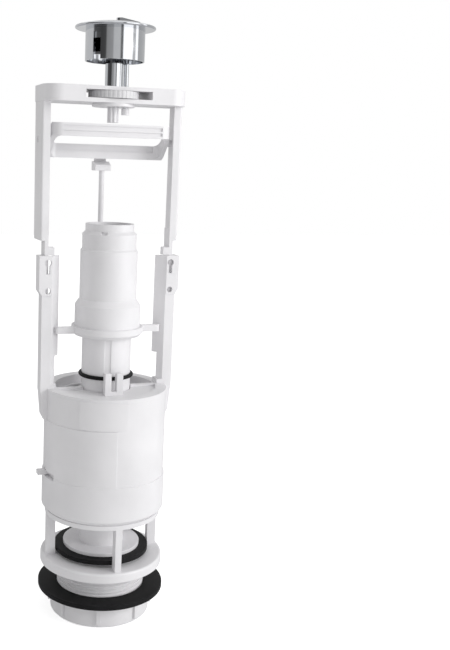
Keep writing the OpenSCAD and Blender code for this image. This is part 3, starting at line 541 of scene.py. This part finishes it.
# %% Cut the slot of the tower
slit_left_of_camera = math.radians(11)
slit_size = (3.0 * MM, 3.6 * MM, 1.7 * MM)
slit_below_cup = 5.5 * MM
ledge_radius = 16.9 * MM
slit_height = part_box("tower")[1].z - slit_below_cup
tower_piece = finish_piece(copy_solid("tower"), "overflow_tower", "valve", "white_plastic")
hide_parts("tower")
slit_place = block_at(camera_direction - slit_left_of_camera, (ledge_radius, 0, slit_height), slit_size)
cutter_mesh = bmesh.new()
bmesh.ops.create_cube(cutter_mesh, size=1, matrix=slit_place)
cut_away(tower_piece, cutter_mesh)
print("tower with slot:", len(tower_piece.data.polygons), "faces")

# %% [markdown]
# ## The upper edge of the rocker
# The rocker is a ring with a high front bar and a low back bar. In the picture the front bar runs level
# to its ends, the back bar is level too, and the cheeks slope between them. Every point of the copied
# solid that lies above this roof line is brought down to it, which keeps the grooves, the ears and the
# axles.

# %% Trim the rocker to its roof line
rocker_low, rocker_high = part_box("rocker")
bar_thickness = 4.0 * MM
cheek_excess = 1.5 * MM
back_below_front = 12.5 * MM
front_face, back_face = rocker_low.y, 18.75 * MM
front_top = rocker_high.z - cheek_excess
back_top = front_top - back_below_front
slope_from, slope_to = front_face + bar_thickness, back_face - bar_thickness


def roof(depth):
    """Height of the roof line at a depth from front to back."""
    share = (depth - slope_from) / (slope_to - slope_from)
    return front_top + (back_top - front_top) * min(max(share, 0), 1)


rocker = copy_solid("rocker")
for vert in rocker.verts:
    vert.co.z = min(vert.co.z, roof(vert.co.y))
bmesh.ops.dissolve_degenerate(rocker, edges=rocker.edges, dist=join_distance)
rocker_piece = finish_piece(rocker, "trimmed_rocker", "lever", "white_plastic")
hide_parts("rocker")
print("rocker front bar at", round(front_top / MM, 1), "mm, back bar at", round(back_top / MM, 1), "mm")

# %% [markdown]
# ## The knurls of the disc nut
# The disc nut in the bridge window has a knurled edge for the fingers. In the picture the knurls hardly
# show, so on a copy of the solid the points in the grooves are brought outwards until the grooves are
# shallow. That keeps their number and needs no new shape.

# %% Ease the knurls
deepest_groove = 1.0 * MM
groove_share = 0.25
nut = copy_solid("height_nut")
nut_radius = max(vert.co.xy.length for vert in nut.verts)
for vert in nut.verts:
    reach = vert.co.xy.length
    if reach > nut_radius - deepest_groove:
        eased = nut_radius - (nut_radius - reach) * groove_share
        vert.co.x *= eased / reach
        vert.co.y *= eased / reach
nut_piece = finish_piece(nut, "knurled_disc_nut", "height", "grey_plastic")
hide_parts("height_nut")
print("disc nut:", round(2 * nut_radius / MM, 1), "mm wide")

# %% [markdown]
# ## The rubber ring on the sleeve
# The ring is a loop of round rubber cord that sits in a groove. In the picture it stands out by about a
# millimetre only, so it is drawn here with a thinner cord than its solid has. A circle spun round the
# axis makes it, which needs no more than its two radii.

# %% Spin the rubber ring
ring_low, ring_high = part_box("sleeve_ring")
solid_cord = (ring_high.z - ring_low.z) / 2
cord = 1.25 * MM
cord_points = 24
ring_steps = 96
ring_inside = ring_high.x - 2 * solid_cord


def round_section(mesh, points, radius, middle):
    """Add an upright circle at a place, as the section of a cord or a wire."""
    section = bmesh.ops.create_circle(mesh, segments=points, radius=radius)["verts"]
    upright = Matrix.Rotation(math.pi / 2, 3, "X")
    bmesh.ops.rotate(mesh, verts=section, cent=(0, 0, 0), matrix=upright)
    bmesh.ops.translate(mesh, verts=section, vec=middle)


loop = bmesh.new()
round_section(loop, cord_points, cord, (ring_inside + cord, 0, (ring_low.z + ring_high.z) / 2))
bmesh.ops.spin(loop, geom=loop.verts[:] + loop.edges[:], cent=(0, 0, 0), axis=(0, 0, 1), angle=math.tau,
               steps=ring_steps, use_merge=True)
loop_piece = finish_piece(loop, "rubber_ring", "valve", "black_rubber")
loop_piece.data.shade_smooth()
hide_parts("sleeve_ring")
print("rubber ring:", round(2 * cord / MM, 2), "mm thick")

# %% [markdown]
# ## The springs
# Each flush button is pushed back by a small wire spring. A spring is a wire section spun round its
# axis while it climbs, the same tool as the thread. The real spring shortens when the button is
# pressed; here each spring is only attached to the body it rides on, and keeps its length.

# %% Wind the springs
wire_points = 10
steps_per_coil = 24


def wind_spring(name, node, body, wire, coils):
    """Wind a spring inside the box of its solid and attach it to a body."""
    low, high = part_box(node)
    centre = (low + high) / 2
    radius = (high.y - low.y - wire) / 2
    climb = high.z - low.z - wire
    steps = int(coils * steps_per_coil)
    spring = bmesh.new()
    round_section(spring, wire_points, wire / 2, (centre.x + radius, centre.y, low.z + wire / 2))
    bmesh.ops.spin(spring, geom=spring.verts[:] + spring.edges[:], cent=(centre.x, centre.y, 0),
                   axis=(0, 0, 1), angle=coils * math.tau, dvec=(0, 0, climb / steps), steps=steps)
    ends = [edge for edge in spring.edges if edge.is_boundary]
    bmesh.ops.holes_fill(spring, edges=ends, sides=0)
    piece = finish_piece(spring, name, body, "spring_steel")
    piece.data.shade_smooth()
    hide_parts(node)
    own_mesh(piece)
    print(name, "length", round((high.z - low.z) / MM, 1), "mm")


wind_spring("full_flush_spring", "full_spring", "frame", wire=0.7 * MM, coils=2.5)
wind_spring("half_flush_spring", "half_spring", "full", wire=0.5 * MM, coils=3.0)

# %% [markdown]
# ## Soft edges on the new pieces
# The new mouldings get the same rounded edges as the rest, the narrow ribs of the fluted rod finer ones,
# and the bezel those of chrome. The thread keeps its own shape and is only shaded smooth, with crisp
# flanks.

# %% Round the new pieces
rib_radius = 0.15 * MM
rounding = [
    (seat_piece, edge_radius["white_plastic"]),
    (rod_piece, rib_radius),
    (bezel_piece, edge_radius["chrome_plate"]),
    (tower_piece, edge_radius["white_plastic"]),
    (rocker_piece, edge_radius["white_plastic"]),
    (nut_piece, edge_radius["grey_plastic"]),
]
for piece, radius in rounding:
    soften(piece, radius)
for piece in [tail_piece] + [piece for piece, radius in rounding]:
    piece.data.shade_smooth()
    piece.data.set_sharp_from_angle(angle=sharp_turn)
print("rounded the edges of", len(rounding), "new pieces")

# %% [markdown]
# ## Floor and backdrop
# The picture is plain white behind the valve. The world is white for what the camera and the mirrors
# see, and a quieter white for what lights the object, so that the plastic keeps its shading. The floor
# does the same: it glows for the camera and the mirrors, and its diffuse part still takes a soft shadow.

# %% White world
sky_light = 0.60
sky_seen = 1.0
world = bpy.data.worlds.new("white_studio")
scene.world = world
world.use_nodes = True
tree = world.node_tree
tree.nodes.clear()
rays = add(tree, "ShaderNodeLightPath").outputs
seen = add(tree, "ShaderNodeMath", {0: rays["Is Camera Ray"], 1: rays["Is Glossy Ray"]},
           operation="MAXIMUM")
seen = add(tree, "ShaderNodeMath", {0: seen.outputs[0], 1: rays["Is Transmission Ray"]},
           operation="MAXIMUM")
power = add(tree, "ShaderNodeMapRange",
            {"Value": seen.outputs[0], "To Min": sky_light, "To Max": sky_seen})
glow = add(tree, "ShaderNodeBackground",
           {"Color": linear("#FFFFFF"), "Strength": power.outputs["Result"]})
add(tree, "ShaderNodeOutputWorld", {"Surface": glow.outputs["Background"]})
print("sky light", sky_light)

# %% Pale floor
floor_size = 6.0
floor_drop = 0.2 * MM
floor_glow = 0.62
floor_mesh = bmesh.new()
bmesh.ops.create_grid(floor_mesh, x_segments=1, y_segments=1, size=floor_size / 2)
floor = mesh_object(floor_mesh, "studio_floor")
floor.location.z = -floor_drop

finish, tree = empty_finish("white_studio_paper")
rays = add(tree, "ShaderNodeLightPath").outputs
seen = add(tree, "ShaderNodeMath", {0: rays["Is Camera Ray"], 1: rays["Is Glossy Ray"]},
           operation="MAXIMUM")
power = add(tree, "ShaderNodeMath", {0: seen.outputs[0], 1: floor_glow}, operation="MULTIPLY")
lift = add(tree, "ShaderNodeEmission", {"Color": linear("#FFFFFF"), "Strength": power.outputs[0]})
paper = add(tree, "ShaderNodeBsdfDiffuse", {"Color": linear("#F4F4F4")})
both = add(tree, "ShaderNodeAddShader", {0: lift.outputs[0], 1: paper.outputs[0]})
add(tree, "ShaderNodeOutputMaterial", {"Surface": both.outputs[0]})
floor.data.materials.append(finish)
print("floor", floor_size, "m wide")

# %% [markdown]
# ## Studio light
# The faces that look to the right are nearly white and those that look to the left are grey, so one
# large soft lamp stands at the right and in front. The sky fills the rest.

# %% Soft lamp
lamp_place = Vector((1.14, -0.91, 0.65))
valve_middle = Vector((0, 0, 0.2))
light = bpy.data.lights.new("key_lamp", "AREA")
light.shape = "SQUARE"
light.size = 0.8
light.energy = 12.0
lamp = bpy.data.objects.new("key_lamp", light)
lamp.location = lamp_place
lamp.rotation_euler = (valve_middle - lamp_place).to_track_quat("-Z", "Y").to_euler()
scene.collection.objects.link(lamp)
print("lamp", round((valve_middle - lamp_place).length, 2), "m from the valve")

# %% [markdown]
# ## Cards for the chrome
# Chrome has no look of its own, it shows the room. In the picture the skirt carries dark bands on its
# left, a thin dark band in the middle and two bright ones on its right. A photographer makes such bands
# with black and white cards around the object. Here they are the stripes of one tall ring, which only
# mirror rays can see, with a grey one on the floor for the rim. The stripes are listed by their
# direction, in degrees to the right of the camera, and their brightness.

# %% Ring of cards
stripes = (
    (-180, 0.42), (-95, 0.42), (-88, 0.07), (-52, 0.04), (-36, 0.05), (-30, 0.20), (-8, 0.24), (-4, 0.39),
    (20, 0.41), (23, 0.11), (30, 0.11), (33, 1.0), (70, 1.0), (73, 0.36), (84, 0.36), (87, 1.0), (97, 1.0),
    (100, 0.32), (180, 0.42),
)
brightest = 1.5
card_reach = 1.3
card_steps = 96


def mirror_card(mesh, name, height, finish):
    """Make a card that only mirror rays can see."""
    card = mesh_object(mesh, name)
    card.data.materials.append(finish)
    card.location.z = height
    card.visible_camera = False
    card.visible_diffuse = False
    card.visible_transmission = False
    card.visible_shadow = False


finish, tree = empty_finish("black_and_white_cards")
place = add(tree, "ShaderNodeTexCoord").outputs["Object"]
turned = add(tree, "ShaderNodeMapping", {"Vector": place, "Rotation": (0, 0, -camera_direction)})
around = add(tree, "ShaderNodeTexGradient", {"Vector": turned.outputs["Vector"]},
             gradient_type="RADIAL")
tone = add(tree, "ShaderNodeValToRGB", {"Fac": around.outputs["Fac"]})
ramp = tone.color_ramp
while len(ramp.elements) < len(stripes):
    ramp.elements.new(0.5)
for element, (degrees, value) in zip(ramp.elements, stripes):
    element.position = degrees / 360 + 0.5
    element.color = (value, value, value, 1.0)
card = add(tree, "ShaderNodeEmission", {"Color": tone.outputs["Color"], "Strength": brightest})
add(tree, "ShaderNodeOutputMaterial", {"Surface": card.outputs[0]})
ring_mesh = bmesh.new()
bmesh.ops.create_cone(ring_mesh, segments=card_steps, radius1=card_reach, radius2=card_reach,
                      depth=card_reach)
mirror_card(ring_mesh, "card_ring", card_reach / 2, finish)
print("stripes:", len(stripes))

# %% Grey card under the chrome
disc_height = 1 * MM
finish, tree = empty_finish("grey_card")
card = add(tree, "ShaderNodeEmission", {"Color": linear("#BCBCBE")})
add(tree, "ShaderNodeOutputMaterial", {"Surface": card.outputs[0]})
disc_mesh = bmesh.new()
bmesh.ops.create_circle(disc_mesh, cap_ends=True, segments=card_steps, radius=card_reach)
mirror_card(disc_mesh, "grey_disc", disc_height, finish)
print("grey card made")
